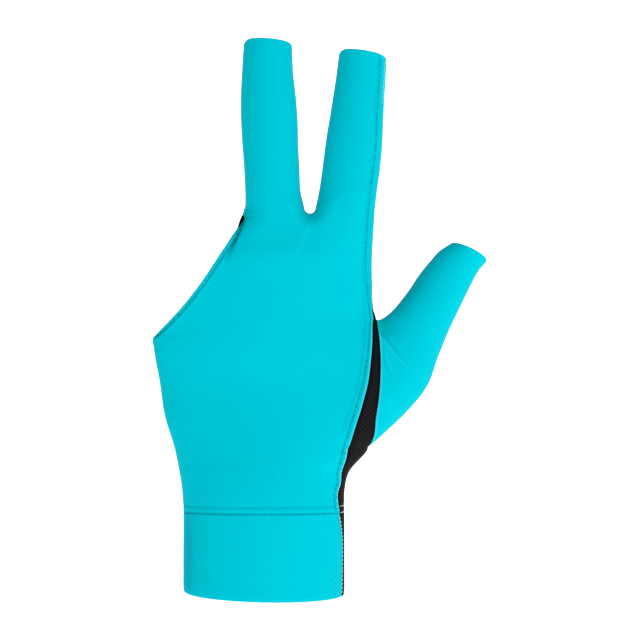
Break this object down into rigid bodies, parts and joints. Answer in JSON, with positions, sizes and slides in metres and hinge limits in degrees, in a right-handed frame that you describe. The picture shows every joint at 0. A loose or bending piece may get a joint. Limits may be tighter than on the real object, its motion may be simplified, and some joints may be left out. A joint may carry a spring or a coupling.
{
  "type": "billiard glove",
  "caption": "Left-hand stretch glove for cue sports: open-ended middle finger, index finger and thumb, open side for the other fingers, mesh palm and a short cuff.",
  "frame": {"origin": "centre of the cuff's mouth, where the hand goes in", "axes": "+Z from the cuff to the fingertips, +X to the thumb side, the back of the hand faces -Y"},
  "size_m": [0.1292, 0.0413, 0.214],
  "materials": {
    "spandex": "smooth turquoise stretch knit with a soft sheen",
    "mesh": "black stretch mesh knit, matt"
  },
  "bodies": {
    "root": {"back_panel": "spandex", "palm_panel": "mesh", "thumb_sleeve": "spandex", "index_underside": "spandex", "middle_underside": "spandex", "cuff_back": "spandex", "cuff_palm": "mesh"}
  },
  "joints": []
}
